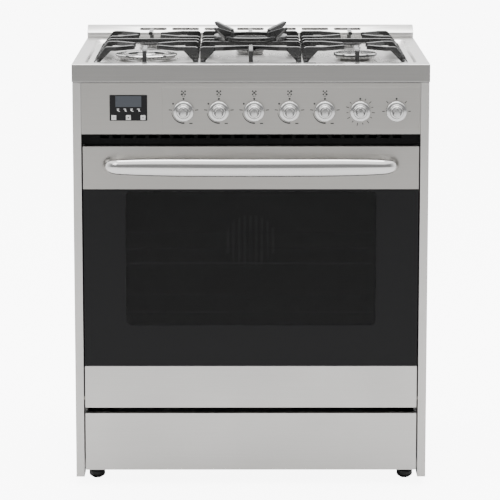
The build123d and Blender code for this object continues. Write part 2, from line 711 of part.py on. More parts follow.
def door_frame():
    """Two upright channels behind the glass, and the hinge blocks at their feet."""
    x0, x1 = DOOR_X - 26, DOOR_X - 2
    channel = box(x0, x1, DOOR_FRONT + 24.2, DOOR_BACK - 8, DOOR_Z[0] + 34, DOOR_Z[1] - 3)
    channel -= box(x0 + 2, x1 - 2, DOOR_FRONT + 26, DOOR_BACK - 7, DOOR_Z[0] + 33, DOOR_Z[1] - 2)
    channel += box(x0, x1, DOOR_FRONT + 6, DOOR_FRONT + 24.2, BOTTOM_BAND[1] + 0.5, TOP_BAND[0] - 0.5)
    block = box(x0, DOOR_X - SHEET, DOOR_FRONT + SHEET, DOOR_FRONT + 34, DOOR_Z[0] + SHEET, DOOR_Z[0] + 34)
    right = channel + block - cyl_x(HINGE_Y, HINGE_Z, DOOR_X - 18, DOOR_X + 1, PIN_R + 0.05)
    return group([right, mirror(right, about=Plane.YZ)])


def door_inner_panel():
    """Enamelled inner skin with its window opening and a raised border round it."""
    y1 = DOOR_BACK
    z0, z1 = DOOR_Z[0] + 4, DOOR_Z[1] - 3
    skin = box(-DOOR_X + 4, DOOR_X - 4, y1 - 8, y1, z0, z1)
    skin -= box(-DOOR_X + 5.5, DOOR_X - 5.5, y1 - 9, y1 - 1.5, z0 + 1.5, z1 - 1.5)
    x = WINDOW_X
    border = box(-x - 12, x + 12, y1 - 12, y1 - 1.5, WINDOW_Z[0] - 12, WINDOW_Z[1] + 12)
    skin += border - box(-x - 10, x + 10, y1 - 13, y1 - 1.5, WINDOW_Z[0] - 10, WINDOW_Z[1] + 10)
    return skin - box(-x, x, y1 - 13, y1 + 1, WINDOW_Z[0], WINDOW_Z[1])


def door_inner_glass():
    """Heat-resistant pane behind the inner skin's opening."""
    x = WINDOW_X + 9
    return box(-x, x, DOOR_BACK - 6, DOOR_BACK - 1.5, WINDOW_Z[0] - 9, WINDOW_Z[1] + 9)


def door_handle():
    """Bowed one-piece handle of oval section, its ends turned in to the door."""
    turn, bow = 85.0, 10.0
    slope = math.tan(math.radians(bow / 4))
    lean = 1 - math.cos(math.radians(turn))
    depth = HANDLE_REACH - HANDLE_A - slope * HANDLE_X
    r = depth / (math.sin(math.radians(turn)) - slope * lean)
    start = (-HANDLE_X, DOOR_FRONT, HANDLE_Z)
    flat = Plane(origin=start, x_dir=(1, 0, 0), z_dir=(0, 0, 1))
    first = JernArc((0, 0), (0, -1), r, turn)
    reach = HANDLE_X - (first @ 1).X
    middle = JernArc(first @ 1, first % 1, reach / math.sin(math.radians(bow / 2)), bow)
    last = JernArc(middle @ 1, middle % 1, r, turn)
    path = flat * Wire([first.edge(), middle.edge(), last.edge()])
    section = Plane(origin=start, x_dir=(1, 0, 0), z_dir=(0, -1, 0)) * Ellipse(HANDLE_A, HANDLE_B)
    bar = sweep(section, path=path)
    for sx in (-1, 1):
        bar += cyl_y(sx * HANDLE_X, HANDLE_Z, DOOR_FRONT - 1, DOOR_FRONT + 8, 3.0)
    return bar


def hinge_pins():
    """Fixed pins on the columns that the door turns on."""
    pin = cyl_x(HINGE_Y, HINGE_Z, DOOR_X - 16, IN_X, PIN_R)
    return group([pin, mirror(pin, about=Plane.YZ)])


def door_gasket():
    """Heat seal round the oven mouth, on the face frame, in four lengths."""
    z0, z1 = OVEN_Z
    mouth = (z0 - 6, z1 + 6)
    edge = (z0 - 18, z1 + 18)
    return surround(OVEN_X + 6, mouth, OVEN_X + 18, edge, DOOR_BACK + 0.4, FRAME_FRONT)


# ---- drawer ----
TRAY_X = 330.0
TRAY_Z = (60.0, 140.0)
RUNNER_Z = (92.0, 108.0)


def drawer_front():
    """Stainless drawer front, a shallow channel open at the back."""
    z0, z1 = DRAWER_Z
    outer = box(-DOOR_X, DOOR_X, DOOR_FRONT, DOOR_FRONT + 20, z0, z1)
    hollow = box(-DOOR_X + SHEET, DOOR_X - SHEET, DOOR_FRONT + SHEET, DOOR_FRONT + 21, z0 + SHEET, z1 - SHEET)
    return outer - hollow


def drawer_tray():
    """Open tray behind the drawer front: floor, four walls, a runner on each side."""
    t = 1.5
    y0, y1 = DOOR_FRONT + 20, BACK - 120
    z0, z1 = TRAY_Z
    floor = box(-TRAY_X, TRAY_X, y0, y1, z0, z0 + t)
    side = box(TRAY_X - t, TRAY_X, y0, y1, z0 + t, z1)
    runner = box(TRAY_X, TRAY_X + 6, FRONT + 60, BACK - 130, *RUNNER_Z)
    ends = [box(-TRAY_X + t, TRAY_X - t, y, y + t, z0 + t, z1) for y in (y0, y1 - t)]
    shelf = box(-TRAY_X, TRAY_X, DOOR_FRONT + SHEET, y0, z0 + 10, z0 + 12)
    right = [side, runner]
    return group([floor, shelf] + ends + right + [mirror(piece, about=Plane.YZ) for piece in right])


def drawer_rails():
    """Fixed rail of each slide: a channel on two brackets from the base."""
    x0 = TRAY_X + 0.5
    z0, z1 = RUNNER_Z
    rail = box(x0, x0 + 9, FRONT + 58, BACK - 60, z0 - 4, z1 + 4)
    rail -= box(x0 - 1, x0 + 6, FRONT + 57, BACK - 59, z0 - 0.4, z1 + 0.4)
    for y in (FRONT + 130, BACK - 160):
        rail += box(x0 + 9, x0 + 15, y, y + 30, 28, z1 + 4)
    return group([rail, mirror(rail, about=Plane.YZ)])


# ---- services ----
INLET_R = 10.5


def gas_inlet():
    """Half-inch gas inlet: elbow and nut behind the rear cover, with a stub out through it."""
    y = BACK - 60
    pipe = cyl_y(INLET_X, INLET_Z, y, BACK - 44, 12) + Pos(INLET_X, y, INLET_Z) * Sphere(13)
    pipe += cyl_z(INLET_X, y, INLET_Z, INLET_Z + 80, 12)
    nut = Plane(origin=(INLET_X, BACK - 34, INLET_Z), x_dir=(1, 0, 0), z_dir=(0, -1, 0))
    pipe += extrude(nut * RegularPolygon(15, 6), 10)
    pipe += cyl_y(INLET_X, INLET_Z, BACK - 34, BACK - 0.5, INLET_R)
    return pipe - cyl_y(INLET_X, INLET_Z, BACK - 50, BACK + 1, 7.5)


def cord_gland():
    """Strain-relief bush where a supply cord would enter."""
    bush = cyl_y(GLAND_X, GLAND_Z, BACK - 14, BACK - 4, 8.9)
    bush += cyl_y(GLAND_X, GLAND_Z, BACK - 4, BACK - 0.8, 12)
    return bush - cyl_y(GLAND_X, GLAND_Z, BACK - 15, BACK + 1, 4.5)


def nodes():
    """Every sub-part by name."""
    left, right = side_panel(-1), side_panel(1)
    grate = side_grate()
    made = {
        "side_panel_left": left,
        "side_panel_right": right,
        "chassis": chassis(),
        "back_panel": back_panel(),
        "back_screws": back_screws(),
        "face_frame": face_frame(),
        "door_gasket": door_gasket(),
        "hinge_pins": hinge_pins(),
        "oven_liner": oven_liner(),
        "insulation": insulation(),
        "rack_supports": rack_supports(),
        "oven_burners": group([oven_burner(), broil_burner()]),
        "fan_cover": fan_cover(),
        "fan_motor": fan_motor(),
        "oven_lamp": oven_lamp(),
        "control_panel": control_panel(),
        "vent_grille": vent_grille(),
        "display_housing": display_housing(),
        "display_glass": display_glass(),
        "control_valves": control_valves(),
        "gas_manifold": gas_manifold(),
        "gas_inlet": gas_inlet(),
        "cord_gland": cord_gland(),
        "drawer_rails": drawer_rails(),
        "cooktop": cooktop(),
        "rear_trim": rear_trim(),
        "burner_bases": group([burner_base(x, y, r) for _, x, y, r in BURNERS]),
        "burner_heads": group([burner_head(x, y, r) for _, x, y, r in BURNERS]),
        "burner_caps": group([burner_cap(x, y, r) for _, x, y, r in BURNERS]),
        "igniters": igniters(),
        "door_top_band": door_top_band(),
        "door_bottom_band": door_bottom_band(),
        "door_outer_glass": door_outer_glass(),
        "door_frame": door_frame(),
        "door_inner_panel": door_inner_panel(),
        "door_inner_glass": door_inner_glass(),
        "door_handle": door_handle(),
        "drawer_front": drawer_front(),
        "drawer_tray": drawer_tray(),
        "convection_fan": convection_fan(),
        "oven_rack_upper": oven_rack(RACK_Z),
        "oven_rack_lower": oven_rack(RACK_Z - 2 * RACK_PITCH),
        "grate_left": mirror(grate, about=Plane.YZ),
        "grate_centre": centre_grate(),
        "grate_right": grate,
        "wok_ring": wok_ring(),
    }
    for i, x in enumerate(KNOB_X):
        made[f"knob_{i + 1}"] = knob(x)
    for i, x in enumerate(BUTTON_X):
        made[f"button_{i + 1}"] = button(x)
    for label, (x, y) in zip(("front_left", "front_right", "back_left", "back_right"), FEET):
        made[f"foot_{label}"] = foot(x, y)
    return made


os.makedirs("parts", exist_ok=True)
for name, shape in nodes().items():
    export_step(shape, f"parts/{name}.step")
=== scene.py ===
# %% [markdown]
# # A freestanding gas range, finished in Blender
# The range is a folded sheet-steel cabinet with an oven, a drawer and a hob on top.
# The frame holds the exact sizes and every joint, so this lesson adds only what a frame has not got:
# eased edges, turned and bowed shapes, and finishes that read as steel, iron, enamel and glass.
# Modelling it all again would lose the fits, so each finished piece is built round its own node.

import json
import math

import bmesh
import bpy
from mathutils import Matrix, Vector


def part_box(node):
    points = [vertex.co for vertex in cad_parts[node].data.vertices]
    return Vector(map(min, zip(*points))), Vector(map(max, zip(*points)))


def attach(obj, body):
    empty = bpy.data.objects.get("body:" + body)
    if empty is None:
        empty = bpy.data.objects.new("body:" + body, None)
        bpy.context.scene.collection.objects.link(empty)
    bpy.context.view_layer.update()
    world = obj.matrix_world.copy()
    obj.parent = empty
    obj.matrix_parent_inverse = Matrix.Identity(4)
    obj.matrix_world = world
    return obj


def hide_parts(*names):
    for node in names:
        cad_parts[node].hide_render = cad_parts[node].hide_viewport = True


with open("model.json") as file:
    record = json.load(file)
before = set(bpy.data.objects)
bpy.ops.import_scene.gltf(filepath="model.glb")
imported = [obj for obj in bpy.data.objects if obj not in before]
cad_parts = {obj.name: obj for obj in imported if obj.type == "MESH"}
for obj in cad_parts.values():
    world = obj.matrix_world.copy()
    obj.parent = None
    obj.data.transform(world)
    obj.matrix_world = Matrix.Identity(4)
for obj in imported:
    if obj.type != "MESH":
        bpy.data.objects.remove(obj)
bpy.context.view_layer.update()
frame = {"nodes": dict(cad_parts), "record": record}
NODES = frame["nodes"]
BODY_OF = {n: body for body, names in frame["record"]["behaviour"]["bodies"].items() for n in names}

# %% [markdown]
# ## Camera, floor and light
# The range is seen from the front, a little above the hob, with a long lens that keeps its sides
# nearly upright. A lens shift would square it fully, but it would push the range out of every other
# view, so the camera is tipped down instead. Polished and brushed metal show only what surrounds
# them, so the room is dimmer in front than behind and overhead, and two soft panels add the shine.

# %% Camera
camera = bpy.data.objects.new("camera", bpy.data.cameras.new("camera"))
bpy.context.collection.objects.link(camera)
CAMERA_PLACE = (-0.013, -6.055, 1.518)
TIP_DOWN, TURN = 9.86, -0.11
camera.location = CAMERA_PLACE
camera.rotation_euler = (math.radians(90 - TIP_DOWN), 0, math.radians(TURN))
camera.data.sensor_width = 36
camera.data.lens = 196.7
camera.data.clip_end = 60
bpy.context.scene.camera = camera
print("camera", round(camera.data.lens), "mm")


# %% Floor, room and soft panels
def stage_plane(name, size, place):
    """A level sheet for the set."""
    mesh = bpy.data.meshes.new(name)
    w, h = size[0] / 2, size[1] / 2
    mesh.from_pydata([(-w, -h, 0), (w, -h, 0), (w, h, 0), (-w, h, 0)], [], [(0, 1, 2, 3)])
    plane = bpy.data.objects.new(name, mesh)
    plane.location = place
    bpy.context.collection.objects.link(plane)
    return plane


def soft_panel(name, place, aim, size, power):
    """A large rectangular lamp turned towards a point."""
    lamp = bpy.data.lights.new(name, "AREA")
    lamp.shape = "RECTANGLE"
    lamp.size, lamp.size_y = size
    lamp.energy = power
    obj = bpy.data.objects.new(name, lamp)
    obj.location = place
    obj.rotation_euler = (Vector(aim) - Vector(place)).to_track_quat("-Z", "Y").to_euler()
    bpy.context.collection.objects.link(obj)


def pale_floor(white):
    """A matt pale finish that the camera itself sees as plain white."""
    mat = bpy.data.materials.new("pale_floor")
    mat.use_nodes = True
    tree = mat.node_tree
    bsdf = tree.nodes["Principled BSDF"]
    bsdf.inputs["Base Color"].default_value = (0.75, 0.75, 0.75, 1)
    bsdf.inputs["Roughness"].default_value = 0.9
    bsdf.inputs["Specular IOR Level"].default_value = 0.1
    bsdf.inputs["Emission Color"].default_value = (1, 1, 1, 1)
    seen = tree.nodes.new("ShaderNodeLightPath")
    lift = tree.nodes.new("ShaderNodeMath")
    lift.operation = "MULTIPLY"
    lift.inputs[1].default_value = white
    tree.links.new(seen.outputs["Is Camera Ray"], lift.inputs[0])
    tree.links.new(lift.outputs[0], bsdf.inputs["Emission Strength"])
    return mat


ROOM_WHITE = 7.5
FLOOR_SIZE, FLOOR_PLACE = (16, 22), (0, 2.0, 0)
floor = stage_plane("floor", FLOOR_SIZE, FLOOR_PLACE)
floor.data.materials.append(pale_floor(ROOM_WHITE))
soft_panel("panel_left", (-3.0, -2.6, 3.0), (0, 0, 0.5), (1.6, 2.0), 25)
soft_panel("panel_top", (0.0, 0.2, 3.4), (0, 0.2, 0.9), (2.6, 2.8), 120)
print("floor and panels ready")


# %% The room: dim in front, bright behind and overhead
def ranged(tree, value, low, high, to_low, to_high):
    """A smooth change from one value to another over a range."""
    node = tree.nodes.new("ShaderNodeMapRange")
    node.interpolation_type = "SMOOTHSTEP"
    for label, number in (("From Min", low), ("From Max", high), ("To Min", to_low), ("To Max", to_high)):
        node.inputs[label].default_value = number
    tree.links.new(value, node.inputs["Value"])
    return node.outputs["Result"]


def blended(tree, factor, a, b):
    """A mix of two values; each may be a number or a link."""
    node = tree.nodes.new("ShaderNodeMix")
    tree.links.new(factor, node.inputs["Factor"])
    for label, value in (("A", a), ("B", b)):
        if isinstance(value, float):
            node.inputs[label].default_value = value
        else:
            tree.links.new(value, node.inputs[label])
    return node.outputs["Result"]


world = bpy.data.worlds.new("room")
bpy.context.scene.world = world
world.use_nodes = True
sky = world.node_tree
direction = sky.nodes.new("ShaderNodeTexCoord")
axis = sky.nodes.new("ShaderNodeSeparateXYZ")
sky.links.new(direction.outputs["Generated"], axis.inputs[0])
FRONT_DIM, BACK_BRIGHT, CEILING = 0.34, 1.9, 2.2
level = ranged(sky, axis.outputs["Y"], -0.5, 0.4, FRONT_DIM, BACK_BRIGHT)
overhead = ranged(sky, axis.outputs["Z"], 0.36, 0.62, 0.0, 1.0)
around = blended(sky, overhead, level, CEILING)
ray = sky.nodes.new("ShaderNodeLightPath")
shown = blended(sky, ray.outputs["Is Camera Ray"], around, ROOM_WHITE)
sky.links.new(shown, sky.nodes["Background"].inputs["Strength"])
sky.nodes["Background"].inputs["Color"].default_value = (1, 1, 1, 1)
print("room ready")

# %% [markdown]
# ## Shared surface effects
# A real finish is never one flat colour. Brushed steel has fine lines left by the belt, cast iron
# has a pitted skin, enamel a faint ripple, and everything near hands or heat carries a thin film.
# Each effect is a node group built once, so that every material tunes its own numbers.

# %% A helper for node groups
def new_group(title, inputs, outputs):
    """An empty shader group with named sockets, and its two end nodes."""
    tree = bpy.data.node_groups.new(title, "ShaderNodeTree")
    for label, kind, value in inputs:
        made = tree.interface.new_socket(name=label, in_out="INPUT", socket_type=kind)
        made.default_value = value
    for label, kind in outputs:
        tree.interface.new_socket(name=label, in_out="OUTPUT", socket_type=kind)
    return tree, tree.nodes.new("NodeGroupInput"), tree.nodes.new("NodeGroupOutput")


FLOAT, VECTOR, COLOUR = "NodeSocketFloat", "NodeSocketVector", "NodeSocketColor"


def noise_node(tree, vector, scale, detail, rough=0.5):
    """A noise texture read along a vector."""
    node = tree.nodes.new("ShaderNodeTexNoise")
    node.inputs["Detail"].default_value = detail
    node.inputs["Roughness"].default_value = rough
    if isinstance(scale, float):
        node.inputs["Scale"].default_value = scale
    else:
        tree.links.new(scale, node.inputs["Scale"])
    tree.links.new(vector, node.inputs["Vector"])
    return node


def bump_node(tree, height, strength, distance):
    """A bump from a height, with its strength linked or fixed."""
    node = tree.nodes.new("ShaderNodeBump")
    node.inputs["Distance"].default_value = distance
    if isinstance(strength, float):
        node.inputs["Strength"].default_value = strength
    else:
        tree.links.new(strength, node.inputs["Strength"])
    tree.links.new(height, node.inputs["Height"])
    return node


print("group helper ready")


# %% Brushed grain
def make_brushed():
    """Long fine lines: noise squeezed across the brushing direction."""
    tree, start, end = new_group(
        "brushed_grain",
        [("Lines", VECTOR, (4.0, 900.0, 900.0)), ("Depth", FLOAT, 0.1)],
        [("Tone", FLOAT), ("Normal", VECTOR)],
    )
    place = tree.nodes.new("ShaderNodeTexCoord")
    squeeze = tree.nodes.new("ShaderNodeVectorMath")
    squeeze.operation = "MULTIPLY"
    tree.links.new(place.outputs["Object"], squeeze.inputs[0])
    tree.links.new(start.outputs["Lines"], squeeze.inputs[1])
    lines = noise_node(tree, squeeze.outputs[0], 1.0, 4.0, 0.6)
    blotch = noise_node(tree, place.outputs["Object"], 5.0, 2.0)
    both = tree.nodes.new("ShaderNodeMix")
    both.inputs["Factor"].default_value = 0.25
    tree.links.new(lines.outputs["Fac"], both.inputs["A"])
    tree.links.new(blotch.outputs["Fac"], both.inputs["B"])
    bump = bump_node(tree, lines.outputs["Fac"], start.outputs["Depth"], 0.0002)
    tree.links.new(both.outputs["Result"], end.inputs["Tone"])
    tree.links.new(bump.outputs["Normal"], end.inputs["Normal"])
    return tree


BRUSHED = make_brushed()
print("brushed grain ready")


# %% Cast skin
def make_cast():
    """Sand-cast skin: coarse grains with small pits between them."""
    tree, start, end = new_group(
        "cast_skin",
        [("Scale", FLOAT, 700.0), ("Depth", FLOAT, 0.4)],
        [("Tone", FLOAT), ("Normal", VECTOR)],
    )
    place = tree.nodes.new("ShaderNodeTexCoord")
    grains = noise_node(tree, place.outputs["Object"], start.outputs["Scale"], 5.0, 0.6)
    pits = tree.nodes.new("ShaderNodeTexVoronoi")
    tree.links.new(place.outputs["Object"], pits.inputs["Vector"])
    tree.links.new(start.outputs["Scale"], pits.inputs["Scale"])
    height = tree.nodes.new("ShaderNodeMath")
    height.operation = "ADD"
    tree.links.new(grains.outputs["Fac"], height.inputs[0])
    tree.links.new(pits.outputs["Distance"], height.inputs[1])
    bump = bump_node(tree, height.outputs[0], start.outputs["Depth"], 0.0004)
    tree.links.new(grains.outputs["Fac"], end.inputs["Tone"])
    tree.links.new(bump.outputs["Normal"], end.inputs["Normal"])
    return tree


CAST = make_cast()
print("cast skin ready")


# %% Handling film
def make_film():
    """Soft uneven patches, where a surface has been wiped or touched."""
    tree, start, end = new_group(
        "handling_film",
        [("Scale", FLOAT, 9.0), ("Low", FLOAT, 0.2), ("High", FLOAT, 0.3)],
        [("Roughness", FLOAT), ("Mask", FLOAT)],
    )
    place = tree.nodes.new("ShaderNodeTexCoord")
    wipe = noise_node(tree, place.outputs["Object"], start.outputs["Scale"], 3.0, 0.55)
    spread = tree.nodes.new("ShaderNodeMapRange")
    spread.inputs["From Min"].default_value = 0.35
    spread.inputs["From Max"].default_value = 0.65
    tree.links.new(wipe.outputs["Fac"], spread.inputs["Value"])
    tree.links.new(start.outputs["Low"], spread.inputs["To Min"])
    tree.links.new(start.outputs["High"], spread.inputs["To Max"])
    tree.links.new(spread.outputs["Result"], end.inputs["Roughness"])
    tree.links.new(wipe.outputs["Fac"], end.inputs["Mask"])
    return tree


FILM = make_film()
print("handling film ready")


# %% [markdown]
# ## Finishes
# Metals are told apart by their tint, how sharp their reflections are and which way their grain
# runs. The shader itself stays in each material, with the shared groups feeding colour, roughness
# and normal, because a reader can then see at a glance what makes one finish differ from another.

# %% A helper for finishes
def place_group(mat, tree, **values):
    """Puts a shared effect in a material with its own values."""
    node = mat.node_tree.nodes.new("ShaderNodeGroup")
    node.node_tree = tree
    for label, value in values.items():
        node.inputs[label].default_value = value
    return node


def finish_of(name, dark, light, metallic, effect, effect_values, film, **fixed):
    """A finish whose colour runs between two tones and whose gloss follows a film."""
    mat = bpy.data.materials.new(name)
    mat.use_nodes = True
    tree = mat.node_tree
    bsdf = tree.nodes["Principled BSDF"]
    skin = place_group(mat, effect, **effect_values)
    tone = tree.nodes.new("ShaderNodeMix")
    tone.data_type = "RGBA"
    tone.inputs["A"].default_value = (*dark, 1)
    tone.inputs["B"].default_value = (*light, 1)
    tree.links.new(skin.outputs["Tone"], tone.inputs["Factor"])
    tree.links.new(tone.outputs["Result"], bsdf.inputs["Base Color"])
    tree.links.new(skin.outputs["Normal"], bsdf.inputs["Normal"])
    wipe = place_group(mat, FILM, Scale=film[0], Low=film[1], High=film[2])
    tree.links.new(wipe.outputs["Roughness"], bsdf.inputs["Roughness"])
    bsdf.inputs["Metallic"].default_value = metallic
    for label, value in fixed.items():
        bsdf.inputs[label.replace("_", " ")].default_value = value
    return mat


def grey(value, warm=0.0):
    """A grey with a little warmth in it."""
    return (value * (1 + warm), value, value * (1 - 1.6 * warm))


print("finish helper ready")

# %% Sheet steel, polished steel and wire
ACROSS = (5.0, 1100.0, 1100.0)
UPRIGHT = (1100.0, 1100.0, 5.0)
steel_front = finish_of("brushed_steel_front", grey(0.5, 0.02), grey(0.62, 0.02), 1.0, BRUSHED,
                        {"Lines": ACROSS, "Depth": 0.12}, (6.0, 0.3, 0.36))
steel_column = finish_of("brushed_steel_column", grey(0.5, 0.02), grey(0.64, 0.02), 1.0, BRUSHED,
                         {"Lines": UPRIGHT, "Depth": 0.1}, (6.0, 0.3, 0.36))
# A darker copy of the front steel: painted shade for the control panel and the door's top band.
steel_panel_painted_shade = finish_of("brushed_steel_panel_painted_shade", grey(0.37, 0.03), grey(0.46, 0.03), 1.0, BRUSHED,
                        {"Lines": ACROSS, "Depth": 0.1}, (6.0, 0.32, 0.4))
steel_polish = finish_of("polished_steel", grey(0.62, 0.01), grey(0.72, 0.01), 1.0, BRUSHED,
                         {"Lines": (12.0, 500.0, 500.0), "Depth": 0.02}, (14.0, 0.12, 0.17))
steel_satin = finish_of("satin_knob_metal", grey(0.55, 0.005), grey(0.7, 0.005), 1.0, BRUSHED,
                        {"Lines": (300.0, 30.0, 300.0), "Depth": 0.03}, (30.0, 0.16, 0.24))
# The hob steel is set brighter than the other steels: painted light, a lit copy for the hob's upward faces
# and the rear trim.
steel_hob_painted_light = finish_of("hob_steel_painted_light", grey(0.74, 0.012), grey(0.88, 0.012), 1.0, BRUSHED,
                      {"Lines": ACROSS, "Depth": 0.02}, (8.0, 0.26, 0.32))
# The apron steel is a darker copy of the hob steel: painted shade for the cooktop's upright outer faces.
steel_apron_painted_shade = finish_of("apron_steel_painted_shade", grey(0.27, 0.02), grey(0.37, 0.02), 1.0, BRUSHED,
                        {"Lines": ACROSS, "Depth": 0.06}, (8.0, 0.3, 0.36))
wire_chrome = finish_of("chromed_wire", grey(0.6), grey(0.72), 1.0, BRUSHED,
                        {"Lines": (200.0, 200.0, 200.0), "Depth": 0.03}, (40.0, 0.12, 0.22))
zinc = finish_of("zinc_plate", (0.5, 0.49, 0.44), (0.66, 0.64, 0.58), 1.0, CAST,
                 {"Scale": 260.0, "Depth": 0.05}, (20.0, 0.3, 0.45))
galvanised = finish_of("galvanised_sheet", grey(0.42), grey(0.58), 1.0, CAST,
                       {"Scale": 60.0, "Depth": 0.03}, (16.0, 0.36, 0.5))
aluminium = finish_of("cast_aluminium", grey(0.42, 0.01), grey(0.56, 0.01), 1.0, CAST,
                      {"Scale": 900.0, "Depth": 0.15}, (30.0, 0.36, 0.5))
print("metals ready")

# %% Iron, enamel, plastic, rubber and wool
iron = finish_of("cast_iron", grey(0.005), grey(0.012), 0.0, CAST, {"Scale": 900.0, "Depth": 0.12},
                 (40.0, 0.2, 0.3), Specular_IOR_Level=0.65, Coat_Weight=0.3, Coat_Roughness=0.15)
enamel = finish_of("dark_enamel", grey(0.014), grey(0.03), 0.0, CAST, {"Scale": 120.0, "Depth": 0.04},
                   (12.0, 0.12, 0.2), Coat_Weight=0.4)
cap_enamel = finish_of("burner_cap_enamel", grey(0.02), grey(0.035), 0.0, CAST,
                       {"Scale": 600.0, "Depth": 0.12}, (30.0, 0.28, 0.4))
black_plastic = finish_of("black_plastic", grey(0.012), grey(0.022), 0.0, CAST,
                          {"Scale": 1500.0, "Depth": 0.12}, (20.0, 0.4, 0.5))
# Near black with almost no shine: painted shade for the vent gap above the door, laid on the grille that sits
# in it.
grille_painted_shade = finish_of("grille_black_painted_shade", grey(0.006), grey(0.010), 0.0, CAST, {"Scale": 800.0, "Depth": 0.1},
                      (20.0, 0.7, 0.8), Specular_IOR_Level=0.1)
key_plastic = finish_of("key_plastic", grey(0.5), grey(0.6), 0.0, CAST, {"Scale": 1500.0, "Depth": 0.06},
                        (30.0, 0.3, 0.4))
seal_rubber = finish_of("heat_seal", grey(0.03), grey(0.07), 0.0, CAST, {"Scale": 1200.0, "Depth": 0.6},
                        (30.0, 0.7, 0.85))
wool = finish_of("mineral_wool", (0.5, 0.43, 0.28), (0.72, 0.66, 0.5), 0.0, CAST,
                 {"Scale": 300.0, "Depth": 0.9}, (20.0, 0.9, 1.0))
white_ceramic = finish_of("white_ceramic", grey(0.72), grey(0.82), 0.0, CAST, {"Scale": 400.0, "Depth": 0.04},
                          (30.0, 0.15, 0.25))
ink = finish_of("printed_ink", grey(0.012), grey(0.02), 0.0, CAST, {"Scale": 2500.0, "Depth": 0.05},
                (60.0, 0.4, 0.5))
glyph_white = finish_of("printed_white", grey(0.62), grey(0.72), 0.0, CAST, {"Scale": 2500.0, "Depth": 0.05},
                        (60.0, 0.4, 0.5))
print("iron, enamel and plastics ready")


# %% Glass
def glass_of(name, tint, roughness, transmission, gloss=0.5, bend=1.45):
    """Clear or tinted glass with a faint film on it."""
    mat = bpy.data.materials.new(name)
    mat.use_nodes = True
    tree = mat.node_tree
    bsdf = tree.nodes["Principled BSDF"]
    bsdf.inputs["Base Color"].default_value = (*tint, 1)
    bsdf.inputs["Transmission Weight"].default_value = transmission
    bsdf.inputs["IOR"].default_value = bend
    bsdf.inputs["Specular IOR Level"].default_value = gloss
    wipe = place_group(mat, FILM, Scale=7.0, Low=roughness, High=roughness * 1.6)
    tree.links.new(wipe.outputs["Roughness"], bsdf.inputs["Roughness"])
    return mat


black_border = glass_of("black_printed_glass", (0.009, 0.009, 0.0095), 0.08, 0.0, 0.13)
window_glass = glass_of("tinted_window_glass", (0.12, 0.12, 0.124), 0.04, 1.0, 0.5, 1.22)
clear_glass = glass_of("clear_glass", (0.8, 0.82, 0.82), 0.04, 1.0, 0.5, 1.2)
lamp_glass = glass_of("lamp_glass", (0.9, 0.9, 0.86), 0.15, 1.0)
lcd_glass = glass_of("clock_window", (0.06, 0.066, 0.076), 0.2, 0.0, 0.2)
lens_black = glass_of("clock_lens", (0.012, 0.012, 0.013), 0.14, 0.0, 0.16)
print("glass ready")

# %% [markdown]
# ## Eased sheet metal and castings
# Folded steel and iron castings never have a razor edge: a fold has its bend radius and a casting
# its draft and rounding. The frame's solids are sharp, so each visible piece is taken as a copy,
# its flat faces are joined up, and a small bevel is run along every sharp edge. Weighted normals
# then let the large flat faces lead the shading, so they stay flat beside their rounded edges.
# Bevelling a copy keeps the fits exact, which sculpting by hand would not.


# %% Copy, ease and finish one node
def smooth_by_angle(mesh, degrees=32.0):
    """Shades a mesh smooth, and keeps edges sharper than an angle crisp."""
    mesh.shade_smooth()
    mesh.set_sharp_from_angle(angle=math.radians(degrees))


def fit_out(obj, node, mat, also=()):
    """Gives a piece its finish and body, and hides the nodes it stands for."""
    obj.data.materials.clear()
    obj.data.materials.append(mat)
    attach(obj, BODY_OF[node])
    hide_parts(node, *also)
    return obj


def cleaned_copy(node, join_flats=True):
    """A welded copy of a node's mesh, its flat faces joined up."""
    source = NODES[node]
    mesh = source.data.copy()
    mesh.materials.clear()
    if "custom_normal" in mesh.attributes:
        mesh.attributes.remove(mesh.attributes["custom_normal"])
    grid = bmesh.new()
    grid.from_mesh(mesh)
    bmesh.ops.remove_doubles(grid, verts=grid.verts, dist=2e-6)
    if join_flats:
        bmesh.ops.dissolve_limit(grid, angle_limit=math.radians(0.6), verts=grid.verts, edges=grid.edges)
    grid.to_mesh(mesh)
    grid.free()
    obj = bpy.data.objects.new(node + "_finished", mesh)
    bpy.context.collection.objects.link(obj)
    return obj


def ease_edges(obj, width, segments=2, degrees=40.0):
    """Runs a small bevel along the sharp edges; large flat faces lead the smooth shading."""
    grid = bmesh.new()
    grid.from_mesh(obj.data)
    sharp = math.radians(degrees)
    corners = [edge for edge in grid.edges if edge.calc_face_angle(0.0) >= sharp]
    bmesh.ops.bevel(grid, geom=corners, offset=width, offset_type="OFFSET", segments=segments,
                    profile=0.5, affect="EDGES", clamp_overlap=False, material=-1)
    for face in grid.faces:
        face.smooth = True
    grid.to_mesh(obj.data)
    grid.free()
    obj.data.set_sharp_from_angle(angle=sharp)
    weights = obj.modifiers.new("weighted_normals", "WEIGHTED_NORMAL")
    weights.mode = "FACE_AREA"
    weights.weight = 100
    weights.keep_sharp = True


def eased(node, width, mat, segments=2):
    """A finished stand-in for a node, with eased edges."""
    obj = cleaned_copy(node)
    ease_edges(obj, width, segments)
    return fit_out(obj, node, mat)


def smoothed(node, mat):
    """A finished stand-in for a round or wire node, shaded smooth."""
    obj = cleaned_copy(node, join_flats=False)
    smooth_by_angle(obj.data, 40.0)
    return fit_out(obj, node, mat)


def kept(mat, *names):
    """Nodes whose shape is right as it is get only a finish."""
    for name in names:
        NODES[name].data.materials.clear()
        NODES[name].data.materials.append(mat)


print("easing helpers ready")

# %% [markdown]
# ## Cabinet, cooktop, bands and panels
# The skin is brushed stainless sheet. On the wide front pieces the lines run across, and on the
# narrow columns they run up, as they would from a coil cut and folded each way.

